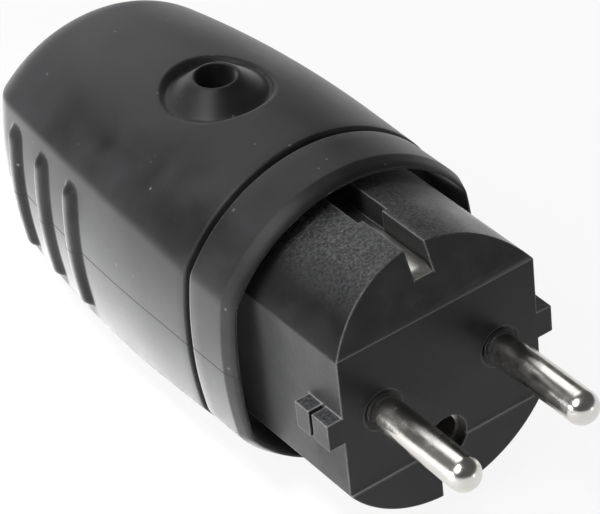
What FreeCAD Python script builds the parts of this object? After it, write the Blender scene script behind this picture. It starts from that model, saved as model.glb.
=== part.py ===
import FreeCAD, Part
import math
import os
import re
import Sketcher

# Rewireable earthed plug with a rubber hood, lying on its hood.
# The origin is the centre of the contact face. The pins point to -Y, the cable leaves to +Y, +Z is up.

V = FreeCAD.Vector
doc = FreeCAD.newDocument("plug")
sheet = doc.addObject("Spreadsheet::Sheet", "dims")

# Driving dimensions, in millimetres
DIMENSIONS = (
    ("pin_diameter", 4.8, "Round pin"),
    ("pin_spacing", 19.0, "Pin to pin"),
    ("pin_reach", 18.8, "Pin in front of the contact face"),
    ("neck_depth", 0.8, "Neck of the pin in the insert, below the pin's surface"),
    ("neck_clearance", 0.05, "Neck in its hole, at the radius"),
    ("seat_inset", 0.25, "Seat under a pin's shoulder, inside the pin's surface"),
    ("seat_rise", 0.2, "Seat under a pin's shoulder, in front of the contact face"),
    ("well_margin", 0.6, "Well round a pin's seat, beyond the pin"),
    ("well_depth", 0.4, "Well round a pin's seat"),
    ("insert_radius", 19.3, "Round of the insert"),
    ("insert_half_width", 15.85, "Axis to the flat of the insert"),
    ("insert_length", 25.0, "Contact face to the flange"),
    ("flange_radius", 18.0, "Round flange in the hood's seat"),
    ("flange_length", 5.0, "Round flange in the hood's seat"),
    ("slope_depth", 3.8, "How far the upper nose falls back"),
    ("face_step", 0.3, "Lower part of the face in front of the rest"),
    ("slot_width", 3.0, "Earth slot"),
    ("slot_floor", 15.4, "Axis to the slot's floor"),
    ("slot_rear_width", 4.4, "Wider rear part of the slot"),
    ("slot_step", 12.5, "Contact face to the wider part"),
    ("lug_height", 4.2, "Side lug"),
    ("lug_reach", 2.4, "Side lug beyond the flat"),
    ("lug_length", 7.0, "Side lug along the insert"),
    ("lug_slit_setback", 3.4, "Contact face to the slit across a lug"),
    ("lug_slit_width", 0.7, "Slit across a lug"),
    ("strip_thickness", 0.8, "Earth strip"),
    ("strip_clearance", 0.1, "Earth strip in its slot, each side"),
    ("strip_setback", 2.0, "Contact face to the strip's nose"),
    ("nose_length", 1.3, "Slanted nose of the strip"),
    ("earth_hole_diameter", 6.4, "Hole for the socket's earth pin"),
    ("earth_hole_drop", 10.0, "Axis to the earth hole"),
    ("sleeve_clearance", 0.05, "Sleeve in the earth hole, at the radius"),
    ("sleeve_wall", 0.65, "Female earth contact"),
    ("sleeve_setback", 1.5, "Contact face to the sleeve"),
    ("sleeve_floor", 3.0, "Closed rear end of the sleeve"),
    ("terminal_size", 7.0, "Width and height of a terminal block"),
    ("terminal_length", 10.0, "Terminal block"),
    ("terminal_fit", 0.1, "Terminal block to its stop"),
    ("wire_hole_radius", 1.7, "Wire hole of a terminal block"),
    ("wire_hole_depth", 7.0, "Wire hole of a terminal block"),
    ("terminal_screw_setback", 4.0, "Rear of the block to its screw"),
    ("stop_length", 2.0, "Stop behind a terminal block"),
    ("stop_height", 1.5, "Stop above the deck"),
    ("screw_radius", 1.4, "Small clamp screws"),
    ("screw_clearance", 0.05, "Screw in its thread, at the radius"),
    ("screw_head_radius", 2.25, "Small clamp screws"),
    ("screw_head_height", 1.8, "Small clamp screws"),
    ("screw_lift", 1.0, "Terminal screw head above its block"),
    ("driver_slot_width", 0.8, "Slot in a screw head"),
    ("driver_slot_depth", 0.9, "Slot in a screw head"),
    ("earth_screw_height", 5.0, "Earth screw above the axis"),
    ("earth_screw_depth", 7.0, "Earth screw in the carrier"),
    ("washer_radius", 3.3, "Earth clamp washer"),
    ("washer_thickness", 0.8, "Earth clamp washer"),
    ("deck_half_width", 12.8, "Rear deck of the carrier"),
    ("deck_thickness", 5.0, "Rear deck of the carrier"),
    ("deck_length", 34.0, "Rear deck of the carrier"),
    ("post_radius", 4.2, "Post for the hood screw"),
    ("post_top", 9.0, "Axis to the top of the post"),
    ("hood_screw_radius", 1.65, "Hood screw"),
    ("hood_screw_length", 9.5, "Hood screw under its head"),
    ("hood_screw_head_radius", 2.7, "Hood screw"),
    ("hood_screw_head_height", 2.2, "Hood screw"),
    ("screw_ledge", 2.5, "Rubber under the hood screw's head"),
    ("clamp_margin", 2.0, "Cord clamp to the end of the deck"),
    ("clamp_length", 8.0, "Cord clamp along the cable"),
    ("clamp_thickness", 1.6, "Cord clamp strap"),
    ("clamp_gap_half_width", 5.2, "Space for the cable"),
    ("clamp_gap_height", 9.0, "Space for the cable"),
    ("clamp_foot", 5.0, "Foot of the cord clamp"),
    ("collar_setback", 17.8, "Contact face to the collar's lip"),
    ("lip_length", 2.1, "Bevelled lip of the collar"),
    ("lip_bevel", 0.8, "Fall of the bevel"),
    ("lip_edge", 0.4, "Edge of the lip"),
    ("band_length", 7.2, "Band of the collar"),
    ("band_inset", 0.2, "Band below the hood's surface"),
    ("groove_width", 0.8, "Groove behind the collar"),
    ("groove_depth", 1.1, "Groove below the hood's surface"),
    ("cup_draft", 0.6, "Taper of the cup inside the collar"),
    ("hood_length", 66.9, "Lip to the rear end of the hood"),
    ("hood_half_width", 20.7, "Axis to the side of the hood"),
    ("hood_half_height", 22.6, "Axis to the top of the hood"),
    ("side_bulge", 1.1, "Rise of a side over its long edges"),
    ("top_rise", 11.0, "Rise of the top over its long edges"),
    ("crown_drop", 3.2, "Fall of the crown's axis to the rear end"),
    ("taper_setback", 38.0, "Contact face to the start of the taper"),
    ("side_bow", 261.0, "Radius of the taper at the sides"),
    ("top_bow", 236.0, "Radius of the taper at the top"),
    ("end_round", 9.3, "Rounded rear end"),
    ("rest_flat_depth", 0.5, "Flat that the hood lies on, cut into its round"),
    ("seat_clearance", 0.1, "Flange in the hood's seat, at the radius"),
    ("chamber_radius", 16.8, "Wiring chamber in the hood"),
    ("chamber_length", 36.0, "Wiring chamber behind the flange"),
    ("funnel_length", 11.0, "Funnel to the cable entry"),
    ("cable_radius", 5.3, "Cable entry"),
    ("funnel_margin", 1.7, "Funnel's small end beyond the cable entry"),
    ("rib_pitch", 8.5, "Grip ribs"),
    ("rib_width", 2.8, "Grip ribs"),
    ("rib_proud", 0.9, "Grip ribs above the side"),
    ("rib_root", 1.2, "Grip ribs below the side"),
    ("rib_half_length", 9.3, "Middle to the round end of a rib"),
    ("rib_setback", 56.5, "Contact face to the first rib"),
    ("recess_setback", 47.0, "Contact face to the screw recess"),
    ("recess_radius", 7.8, "Mouth of the screw recess"),
    ("recess_floor_radius", 6.4, "Floor of the screw recess"),
    ("recess_depth", 2.6, "Screw recess"),
    ("boss_foot_radius", 5.5, "Cone round the screw hole, at the floor"),
    ("boss_tip_radius", 3.5, "Cone round the screw hole, at the tip"),
    ("boss_drop", 0.6, "Tip of the cone below the hood's top"),
    ("access_radius", 2.9, "Screw access hole"),
    ("boss_radius", 5.2, "Rubber boss inside the hood"),
)
for row, (alias, value, note) in enumerate(DIMENSIONS, 1):
    sheet.set(f"A{row}", note)
    sheet.set(f"B{row}", str(value))
    sheet.setAlias(f"B{row}", alias)
doc.recompute()

# Room that a cutting solid reaches beyond what it cuts
OVERCUT = "1"

# Places that several pieces share
PIN_RADIUS = "pin_diameter / 2"
NECK_RADIUS = "(pin_diameter / 2 - neck_depth)"
EDGE_X = "(hood_half_width - side_bulge)"
EDGE_Z = "(hood_half_height - top_rise)"
FLANGE_REAR = "(insert_length + flange_length)"
FACE_EDGE = "sqrt(insert_radius ^ 2 - insert_half_width ^ 2)"
TERMINAL_REAR = "(insert_length + flange_length + terminal_length)"
DECK_TOP = "(-terminal_size / 2)"
DECK_END = "(insert_length + flange_length + deck_length)"
STRIP_TOP = "(slot_floor + strip_thickness)"
STRIP_REAR = "(insert_length + flange_length + strip_thickness)"
WASHER_REAR = "(insert_length + flange_length + strip_thickness + washer_thickness)"
CREASE = "(collar_setback + lip_length)"
GROOVE_FRONT = "(collar_setback + lip_length + band_length)"
HOOD_FRONT = "(collar_setback + lip_length + band_length + groove_width)"
HOOD_END = "(collar_setback + hood_length)"
CHAMBER_REAR = "(insert_length + flange_length + chamber_length)"
SCREW_LEDGE = "(post_top + screw_ledge)"
CLAMP_SCREW_X = "(clamp_gap_half_width + clamp_thickness + clamp_foot / 2)"
CLAMP_FRONT = "(insert_length + flange_length + deck_length - clamp_margin - clamp_length)"
CLAMP_SCREW_Y = "(insert_length + flange_length + deck_length - clamp_margin - clamp_length / 2)"
THREAD_RADIUS = "(screw_radius + screw_clearance)"
SLEEVE_RADIUS = "(earth_hole_diameter / 2 - sleeve_clearance)"

ALIASES = re.compile(r"\b(" + "|".join(alias for alias, _, _ in DIMENSIONS) + r")\b")
UPRIGHT = FreeCAD.Rotation()
REARWARD = FreeCAD.Rotation(V(1, 0, 0), -90)
nodes = {}
gauge = doc.addObject("App::FeaturePython", "gauge")
gauge.addProperty("App::PropertyFloat", "reading")


def cell(expression):
    """Point every size named in an expression at its cell of the sheet."""
    return ALIASES.sub(r"dims.\1", expression)


def number(expression):
    """The present value of an expression, so that a sketch starts out where its dimensions put it."""
    gauge.setExpression("reading", cell(expression))
    gauge.recompute()
    return gauge.reading


def primitive(kind, name, sizes, at, turn=UPRIGHT):
    solid = doc.addObject("Part::" + kind, name)
    solid.Placement = FreeCAD.Placement(V(), turn)
    for size, expression in sizes.items():
        solid.setExpression(size, cell(expression))
    for axis, expression in zip("xyz", at):
        solid.setExpression("Placement.Base." + axis, cell(expression))
    return solid


def rod(name, radius, front, rear, x="0", z="0"):
    """A cylinder along Y."""
    sizes = {"Radius": radius, "Height": f"({rear}) - ({front})"}
    return primitive("Cylinder", name, sizes, (x, front, z), REARWARD)


def post(name, radius, low, high, x="0", y="0"):
    """An upright cylinder."""
    return primitive("Cylinder", name, {"Radius": radius, "Height": f"({high}) - ({low})"}, (x, y, low))


def block(name, x, y, z):
    """A box between two limits on each axis."""
    sides = zip(("Length", "Width", "Height"), (x, y, z))
    sizes = {size: f"({high}) - ({low})" for size, (low, high) in sides}
    return primitive("Box", name, sizes, (x[0], y[0], z[0]))


def fuse(name, *pieces):
    joined = doc.addObject("Part::MultiFuse", name)
    joined.Shapes = list(pieces)
    return joined


def cut(name, base, *tools):
    result = doc.addObject("Part::Cut", name)
    result.Base = base
    result.Tool = tools[0] if len(tools) == 1 else fuse(name + "_tools", *tools)
    return result


def mirror(name, source, normal):
    reflected = doc.addObject("Part::Mirroring", name)
    reflected.Source = source
    reflected.Normal = normal
    return reflected


def node(label, feature):
    feature.Label = label
    nodes[label] = feature
    return feature


def new_sketch(body, name, role, offset="0"):
    """A sketch on one of the body's own origin planes, moved along that plane's normal."""
    plane = next(item for item in body.Origin.OriginFeatures if item.Role == role)
    sketch = body.newObject("Sketcher::SketchObject", name)
    sketch.AttachmentSupport = (plane, "")
    sketch.MapMode = "FlatFace"
    sketch.setExpression("AttachmentOffset.Base.z", cell(offset))
    return sketch


def constrain(sketch, expression, *terms):
    """Add a dimension to a sketch and bind it to the sheet."""
    index = sketch.addConstraint(Sketcher.Constraint(*terms, number(expression)))
    sketch.setExpression(f"Constraints[{index}]", cell(expression))


def polygon(body, name, role, corners, offset="0"):
    """A closed outline whose corners are bound one by one."""
    sketch = new_sketch(body, name, role, offset)
    count = len(corners)
    ring = [V(number(across), number(up), 0) for across, up in corners]
    for i in range(count):
        sketch.addGeometry(Part.LineSegment(ring[i], ring[(i + 1) % count]), False)
    for i in range(count):
        sketch.addConstraint(Sketcher.Constraint("Coincident", i, 2, (i + 1) % count, 1))
    for i, (across, up) in enumerate(corners):
        constrain(sketch, across, "DistanceX", -1, 1, i, 1)
        constrain(sketch, up, "DistanceY", -1, 1, i, 1)
    return sketch


def extrude(body, kind, name, sketch, length, reverse=False, both_ways=False):
    """A pad or a pocket of a sketch."""
    feature = body.newObject("PartDesign::" + kind, name)
    feature.Profile = sketch
    feature.setExpression("Length", cell(length))
    feature.Reversed = reverse
    feature.Midplane = both_ways
    sketch.Visibility = False
    return feature


def cushion(body, name, station, half_width, half_height, edge_x, edge_z):
    """A section of the hood: four bowed sides that meet at four long edges."""
    sketch = new_sketch(body, name, "XZ_Plane", f"-({station})")
    top_radius = arc_radius(edge_z, half_height, edge_x)
    side_radius = arc_radius(edge_x, half_width, edge_z)
    top_centre = V(0, number(f"({half_height}) - {top_radius}"), 0)
    side_centre = V(number(f"({half_width}) - {side_radius}"), 0, 0)
    corner = V(number(edge_x), number(edge_z), 0)
    top_start = (corner - top_centre).getAngle(V(1, 0, 0))
    side_end = (corner - side_centre).getAngle(V(1, 0, 0))
    top, left, bottom, right = range(4)
    arcs = ((top_centre, top_radius, top_start, math.pi - top_start),
            (-side_centre, side_radius, math.pi - side_end, math.pi + side_end),
            (-top_centre, top_radius, math.pi + top_start, math.tau - top_start),
            (side_centre, side_radius, -side_end, side_end))
    for centre, radius, start, end in arcs:
        circle = Part.Circle(centre, V(0, 0, 1), number(radius))
        sketch.addGeometry(Part.ArcOfCircle(circle, start, end), False)
    for arc, following in ((top, left), (left, bottom), (bottom, right), (right, top)):
        sketch.addConstraint(Sketcher.Constraint("Coincident", arc, 2, following, 1))
    sketch.addConstraint(Sketcher.Constraint("Symmetric", top, 1, top, 2, -2))
    sketch.addConstraint(Sketcher.Constraint("Symmetric", bottom, 1, bottom, 2, -2))
    sketch.addConstraint(Sketcher.Constraint("Symmetric", right, 1, right, 2, -1))
    sketch.addConstraint(Sketcher.Constraint("Equal", top, bottom))
    sketch.addConstraint(Sketcher.Constraint("Equal", left, right))
    constrain(sketch, edge_x, "DistanceX", -1, 1, top, 1)
    constrain(sketch, edge_z, "DistanceY", -1, 1, top, 1)
    constrain(sketch, top_radius, "Radius", top)
    constrain(sketch, side_radius, "Radius", right)
    return sketch


def inset_cushion(body, name, station, inset):
    """The hood's front section, drawn in all round."""
    shares = (("hood_half_width", 1), ("hood_half_height", 1), (EDGE_X, 0.8), (EDGE_Z, 0.6))
    sizes = [f"{size} - ({inset}) * {share}" for size, share in shares]
    return cushion(body, name, station, *sizes)


def stadium(body, name, offset, middle):
    """The foot of a grip rib: two straight flanks with round ends."""
    sketch = new_sketch(body, name, "YZ_Plane", offset)
    half_width = "rib_width / 2"
    along, half, reach = number(middle), number(half_width), number("rib_half_length")
    front, low_end, rear, high_end = range(4)
    sketch.addGeometry([
        Part.LineSegment(V(along - half, reach, 0), V(along - half, -reach, 0)),
        Part.ArcOfCircle(Part.Circle(V(along, -reach, 0), V(0, 0, 1), half), math.pi, math.tau),
        Part.LineSegment(V(along + half, -reach, 0), V(along + half, reach, 0)),
        Part.ArcOfCircle(Part.Circle(V(along, reach, 0), V(0, 0, 1), half), 0, math.pi),
    ], False)
    for first, second in ((front, low_end), (low_end, rear), (rear, high_end), (high_end, front)):
        sketch.addConstraint(Sketcher.Constraint("Tangent", first, 2, second, 1))
    sketch.addConstraint(Sketcher.Constraint("Equal", low_end, high_end))
    constrain(sketch, half_width, "Radius", high_end)
    for arc, height in ((high_end, "rib_half_length"), (low_end, "-rib_half_length")):
        constrain(sketch, middle, "DistanceX", -1, 1, arc, 3)
        constrain(sketch, height, "DistanceY", -1, 1, arc, 3)
    return sketch


def loft(body, kind, name, sections):
    """Straight faces from one section to the next."""
    feature = body.newObject("PartDesign::" + kind, name)
    feature.Profile = sections[0]
    feature.Sections = sections[1:]
    feature.Ruled = True
    return feature


def arc_radius(edge, middle, half_span):
    """Radius of an arc from its height at the ends, its height in the middle and its half span."""
    rise = f"(({middle}) - ({edge}))"
    return f"((({half_span}) ^ 2 + {rise} ^ 2) / (2 * {rise}))"


def barrel(name, radius, bow, drop="0"):
    """A turned body: straight, then bowed inwards and rounded off. Its axis may fall to the rear."""
    body = doc.addObject("PartDesign::Body", name)
    sketch = new_sketch(body, name + "_profile", "YZ_Plane")
    front, taper, end, crown = (number(size) for size in (HOOD_FRONT, "taper_setback", HOOD_END, radius))
    bow_centre = V(taper, crown - number(bow), 0)
    run = end - number("end_round") - taper
    reach = math.sqrt((number(bow) - number("end_round")) ** 2 - run ** 2)
    round_centre = bow_centre + V(run, reach, 0)
    turn = math.atan2(reach, run)
    axis_front, axis_end = V(front, 0, 0), V(end, -number(drop), 0)
    bow_circle = Part.Circle(bow_centre, V(0, 0, 1), number(bow))
    end_circle = Part.Circle(round_centre, V(0, 0, 1), number("end_round"))
    rear, rounding, taper_arc, straight, face, core, axis = range(7)
    sketch.addGeometry([
        Part.LineSegment(axis_end, V(end, round_centre.y, 0)),
        Part.ArcOfCircle(end_circle, 0, turn),
        Part.ArcOfCircle(bow_circle, turn, math.pi / 2),
        Part.LineSegment(V(taper, crown, 0), V(front, crown, 0)),
        Part.LineSegment(V(front, crown, 0), axis_front),
        Part.LineSegment(axis_front, axis_end),
    ], False)
    sketch.addGeometry(Part.LineSegment(axis_front, axis_end), True)
    for first, second in ((rear, rounding), (rounding, taper_arc), (taper_arc, straight)):
        sketch.addConstraint(Sketcher.Constraint("Tangent", first, 2, second, 1))
    for first, second in ((straight, face), (face, core), (core, rear)):
        sketch.addConstraint(Sketcher.Constraint("Coincident", first, 2, second, 1))
    sketch.addConstraint(Sketcher.Constraint("Coincident", axis, 1, core, 1))
    sketch.addConstraint(Sketcher.Constraint("Coincident", axis, 2, core, 2))
    sketch.addConstraint(Sketcher.Constraint("Perpendicular", rear, core))
    sketch.addConstraint(Sketcher.Constraint("Vertical", face))
    sketch.addConstraint(Sketcher.Constraint("Horizontal", straight))
    sketch.addConstraint(Sketcher.Constraint("PointOnObject", face, 2, -1))
    constrain(sketch, f"-({drop})", "DistanceY", -1, 1, rear, 1)
    constrain(sketch, HOOD_FRONT, "DistanceX", -1, 1, straight, 2)
    constrain(sketch, "taper_setback", "DistanceX", -1, 1, straight, 1)
    constrain(sketch, HOOD_END, "DistanceX", -1, 1, rear, 1)
    constrain(sketch, radius, "DistanceY", -1, 1, straight, 1)
    constrain(sketch, "end_round", "Radius", rounding)
    constrain(sketch, bow, "Radius", taper_arc)
    turned = body.newObject("PartDesign::Revolution", name + "_turned")
    turned.Profile = sketch
    turned.ReferenceAxis = (sketch, ["Axis0"])
    turned.Angle = 360
    sketch.Visibility = False
    return body


def common(name, base, tool):
    shared = doc.addObject("Part::Common", name)
    shared.Base = base
    shared.Tool = tool
    return shared


def hood_side(y):
    """Half width of the hood at a distance behind the contact face."""
    return f"(hood_half_width - side_bow + sqrt(side_bow ^ 2 - (({y}) - taper_setback) ^ 2))"


# Contact carrier: front block
carrier = doc.addObject("PartDesign::Body", "carrier_block")
section = new_sketch(carrier, "carrier_section", "XZ_Plane")
face_corner = V(number("insert_half_width"), number(FACE_EDGE), 0)
corner_angle = face_corner.getAngle(V(1, 0, 0))
for start, end in ((corner_angle, math.pi - corner_angle), (math.pi + corner_angle, math.tau - corner_angle)):
    circle = Part.Circle(V(), V(0, 0, 1), number("insert_radius"))
    section.addGeometry(Part.ArcOfCircle(circle, start, end), False)
section.addGeometry(Part.LineSegment(V(-face_corner.x, face_corner.y, 0), -face_corner), False)
section.addGeometry(Part.LineSegment(V(face_corner.x, -face_corner.y, 0), face_corner), False)
for first, second in ((0, 2), (2, 1), (1, 3), (3, 0)):
    section.addConstraint(Sketcher.Constraint("Coincident", first, 2, second, 1))
section.addConstraint(Sketcher.Constraint("Coincident", 0, 3, -1, 1))
section.addConstraint(Sketcher.Constraint("Coincident", 1, 3, -1, 1))
section.addConstraint(Sketcher.Constraint("Vertical", 2))
section.addConstraint(Sketcher.Constraint("Vertical", 3))
constrain(section, "insert_radius", "Radius", 0)
constrain(section, "insert_half_width", "DistanceX", -1, 1, 0, 1)
constrain(section, "insert_half_width", "DistanceX", 0, 2, -1, 1)
extrude(carrier, "Pad", "carrier_pad", section, "insert_length", reverse=True)

# The nose falls back above the face, and the part below the face stands a little in front of it
slope_rise = f"(insert_radius - {FACE_EDGE})"
slope_front = "-0.2 * slope_depth"
slope_top = f"(insert_radius + 0.2 * {slope_rise})"
wedge = polygon(carrier, "slope", "YZ_Plane", (
    (slope_front, f"{FACE_EDGE} - 0.2 * {slope_rise}"),
    ("1.2 * slope_depth", slope_top),
    (slope_front, slope_top),
))
extrude(carrier, "Pocket", "slope_cut", wedge, "4 * insert_radius", both_ways=True)
step_round = rod("step_round", "insert_radius", "-face_step", "insert_length / 2")
step_window = block("step_window", ("-insert_half_width", "insert_half_width"),
                    ("-face_step", "insert_length / 2"), ("-insert_radius", f"-{FACE_EDGE}"))
lower_step = common("lower_step", step_round, step_window)

# Contact carrier: flange, lugs, deck, stops and post
flange = rod("flange", "flange_radius", f"insert_length - {OVERCUT}", FLANGE_REAR)
half_lug = "lug_height / 2"
lug_block = block("lug_block", (f"insert_half_width - {OVERCUT}", "insert_half_width + lug_reach"),
                  ("0", "lug_length"), (f"-{half_lug}", half_lug))
lug_slit = block("lug_slit", ("insert_half_width", f"insert_half_width + lug_reach + {OVERCUT}"),
                 ("lug_slit_setback", "lug_slit_setback + lug_slit_width"),
                 (f"-{half_lug} - {OVERCUT}", f"{half_lug} + {OVERCUT}"))
right_lug = cut("right_lug", lug_block, lug_slit)
left_lug = mirror("left_lug", right_lug, V(1, 0, 0))
deck = block("deck", ("-deck_half_width", "deck_half_width"), (FLANGE_REAR, DECK_END),
             (f"{DECK_TOP} - deck_thickness", DECK_TOP))
right_stop = block("right_stop", ("(pin_spacing - terminal_size) / 2", "(pin_spacing + terminal_size) / 2"),
                   (f"{TERMINAL_REAR} + terminal_fit", f"{TERMINAL_REAR} + terminal_fit + stop_length"),
                   (f"{DECK_TOP} - deck_thickness / 2", f"{DECK_TOP} + stop_height"))
left_stop = mirror("left_stop", right_stop, V(1, 0, 0))
screw_post = post("screw_post", "post_radius", f"{DECK_TOP} - deck_thickness / 2", "post_top",
                  y="recess_setback")
carrier_solid = fuse("carrier_solid", carrier, lower_step, flange, right_lug, left_lug, deck,
                     right_stop, left_stop, screw_post)

# Contact carrier: a shallow well round each pin, with the seat for the pin's shoulder in it
wells, seats = [], []
for side, sign in (("left", "-"), ("right", "")):
    pin_x = f"{sign}pin_spacing / 2"
    wells.append(rod(side + "_well", f"{PIN_RADIUS} + well_margin", f"-{OVERCUT}", "well_depth", pin_x))
    seats.append(rod(side + "_seat", f"{PIN_RADIUS} - seat_inset", "-seat_rise", f"well_depth + {OVERCUT}",
                     pin_x))
carrier_front = fuse("carrier_front", cut("carrier_wells", carrier_solid, *wells), *seats)

# Contact carrier: holes and slots
slot = block("slot", ("-slot_width / 2", "slot_width / 2"),
             (f"-face_step - {OVERCUT}", f"{FLANGE_REAR} + {OVERCUT}"),
             ("slot_floor", f"insert_radius + {OVERCUT}"))
slot_rear = block("slot_rear", ("-slot_rear_width / 2", "slot_rear_width / 2"),
                  ("slot_step", f"{FLANGE_REAR} + {OVERCUT}"), ("slot_floor", f"insert_radius + {OVERCUT}"))
upper_slot = fuse("upper_slot", slot, slot_rear)
lower_slot = mirror("lower_slot", upper_slot, V(0, 0, 1))
bar_notch = block("bar_notch", ("-slot_width / 2", "slot_width / 2"),
                  (FLANGE_REAR, f"{STRIP_REAR} + strip_clearance"), ("-slot_floor", DECK_TOP))
earth_hole = rod("earth_hole", "earth_hole_diameter / 2", f"-face_step - {OVERCUT}", FLANGE_REAR,
                 z="-earth_hole_drop")
earth_thread = rod("earth_thread", THREAD_RADIUS, f"{FLANGE_REAR} - earth_screw_depth - {OVERCUT}",
                   f"{FLANGE_REAR} + {OVERCUT}", z="earth_screw_height")
post_thread = post("post_thread", "hood_screw_radius + screw_clearance",
                   f"{SCREW_LEDGE} - hood_screw_length - {OVERCUT}", f"post_top + {OVERCUT}",
                   y="recess_setback")
holes = [upper_slot, lower_slot, bar_notch, earth_hole, earth_thread, post_thread]
for side, sign in (("left", "-"), ("right", "")):
    holes.append(rod(side + "_pin_hole", f"{NECK_RADIUS} + neck_clearance", f"-seat_rise - {OVERCUT}",
                     f"{FLANGE_REAR} + {OVERCUT}", x=f"{sign}pin_spacing / 2"))
    holes.append(post(side + "_clamp_thread", THREAD_RADIUS, f"{DECK_TOP} - deck_thickness - {OVERCUT}",
                      f"{DECK_TOP} + {OVERCUT}", f"{sign}{CLAMP_SCREW_X}", CLAMP_SCREW_Y))
node("contact_carrier", cut("carrier_cut", carrier_front, *holes))


def upright_screw(label, radius, length, head_radius, head_height, seat, x, y):
    """A slotted screw that points down, with its head on a seat."""
    shank = post(label + "_shank", radius, f"{seat} - {length}", seat, x, y)
    head = post(label + "_head", head_radius, seat, f"{seat} + {head_height}", x, y)
    reach = f"{head_radius} + {OVERCUT}"
    head_top = f"{seat} + {head_height}"
    head_slot = block(label + "_slot", (f"{x} - ({reach})", f"{x} + {reach}"),
                      (f"{y} - driver_slot_width / 2", f"{y} + driver_slot_width / 2"),
                      (f"{head_top} - driver_slot_depth", f"{head_top} + {OVERCUT}"))
    node(label, cut(label + "_cut", fuse(label + "_blank", shank, head), head_slot))


# Pins with their terminal blocks and clamp screws
for side, sign in (("left", "-"), ("right", "")):
    pin_x = f"{sign}pin_spacing / 2"
    screw_y = f"({TERMINAL_REAR} - terminal_screw_setback)"
    stem = rod(side + "_stem", PIN_RADIUS, f"{PIN_RADIUS} - pin_reach", "-seat_rise", pin_x)
    neck = rod(side + "_neck", NECK_RADIUS, f"-seat_rise - {OVERCUT}", f"{FLANGE_REAR} + {OVERCUT}", pin_x)
    tip = primitive("Sphere", side + "_tip", {"Radius": PIN_RADIUS},
                    (pin_x, f"{PIN_RADIUS} - pin_reach", "0"))
    terminal = block(side + "_terminal", (f"{pin_x} - terminal_size / 2", f"{pin_x} + terminal_size / 2"),
                     (FLANGE_REAR, TERMINAL_REAR), ("-terminal_size / 2", "terminal_size / 2"))
    wire_hole = rod(side + "_wire_hole", "wire_hole_radius", f"{TERMINAL_REAR} - wire_hole_depth",
                    f"{TERMINAL_REAR} + {OVERCUT}", pin_x)
    thread = post(side + "_terminal_thread", THREAD_RADIUS, "0", f"terminal_size / 2 + {OVERCUT}",
                  pin_x, screw_y)
    pin_blank = fuse(side + "_pin_blank", stem, neck, tip, terminal)
    node("pin_" + side, cut(side + "_pin_cut", pin_blank, wire_hole, thread))
    upright_screw("pin_screw_" + side, "screw_radius", "(terminal_size / 2)",
                  "screw_head_radius", "screw_head_height",
                  "(terminal_size / 2 + screw_lift)", pin_x, screw_y)
    upright_screw("cord_clamp_screw_" + side, "screw_radius", "(clamp_thickness + deck_thickness)",
                  "screw_head_radius", "screw_head_height",
                  f"({DECK_TOP} + clamp_thickness)", f"{sign}{CLAMP_SCREW_X}", CLAMP_SCREW_Y)

# Earth bracket: one strip bent to a U, with a slanted nose on each leg
bracket = doc.addObject("PartDesign::Body", "bracket_strip")
strip = polygon(bracket, "strip_outline", "YZ_Plane", (
    ("strip_setback", "slot_floor"),
    ("strip_setback + nose_length", STRIP_TOP),
    (STRIP_REAR, STRIP_TOP),
    (STRIP_REAR, f"-{STRIP_TOP}"),
    ("strip_setback + nose_length", f"-{STRIP_TOP}"),
    ("strip_setback", "-slot_floor"),
    (FLANGE_REAR, "-slot_floor"),
    (FLANGE_REAR, "slot_floor"),
))
extrude(bracket, "Pad", "strip_pad", strip, "slot_width - 2 * strip_clearance", both_ways=True)
bracket_hole = rod("bracket_hole", THREAD_RADIUS, f"{FLANGE_REAR} - {OVERCUT}",
                   f"{STRIP_REAR} + {OVERCUT}", z="earth_screw_height")
earth_plate = block("earth_plate", ("-washer_radius", "washer_radius"), (FLANGE_REAR, STRIP_REAR),
                    ("earth_screw_height - washer_radius", "earth_screw_height + washer_radius"))
node("earth_bracket", cut("bracket_cut", fuse("bracket_blank", bracket, earth_plate), bracket_hole))

# Earth sleeve, washer and screw
sleeve = rod("sleeve", SLEEVE_RADIUS, "sleeve_setback", FLANGE_REAR, z="-earth_hole_drop")
sleeve_bore = rod("sleeve_bore", f"{SLEEVE_RADIUS} - sleeve_wall", "0", f"{FLANGE_REAR} - sleeve_floor",
                  z="-earth_hole_drop")
node("earth_sleeve", cut("sleeve_cut", sleeve, sleeve_bore))
washer = rod("washer", "washer_radius", STRIP_REAR, WASHER_REAR, z="earth_screw_height")
washer_hole = rod("washer_hole", THREAD_RADIUS, f"{STRIP_REAR} - {OVERCUT}",
                  f"{WASHER_REAR} + {OVERCUT}", z="earth_screw_height")
node("earth_washer", cut("washer_cut", washer, washer_hole))
earth_shank = rod("earth_shank", "screw_radius", f"{FLANGE_REAR} - earth_screw_depth", WASHER_REAR,
                  z="earth_screw_height")
head_rear = f"{WASHER_REAR} + screw_head_height"
earth_head = rod("earth_head", "screw_head_radius", WASHER_REAR, head_rear, z="earth_screw_height")
half_slot = "driver_slot_width / 2"
earth_slot = block("earth_slot", (f"-screw_head_radius - {OVERCUT}", f"screw_head_radius + {OVERCUT}"),
                   (f"{head_rear} - driver_slot_depth", f"{head_rear} + {OVERCUT}"),
                   (f"earth_screw_height - {half_slot}", f"earth_screw_height + {half_slot}"))
node("earth_screw", cut("earth_screw_cut", fuse("earth_screw_blank", earth_shank, earth_head), earth_slot))

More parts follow.
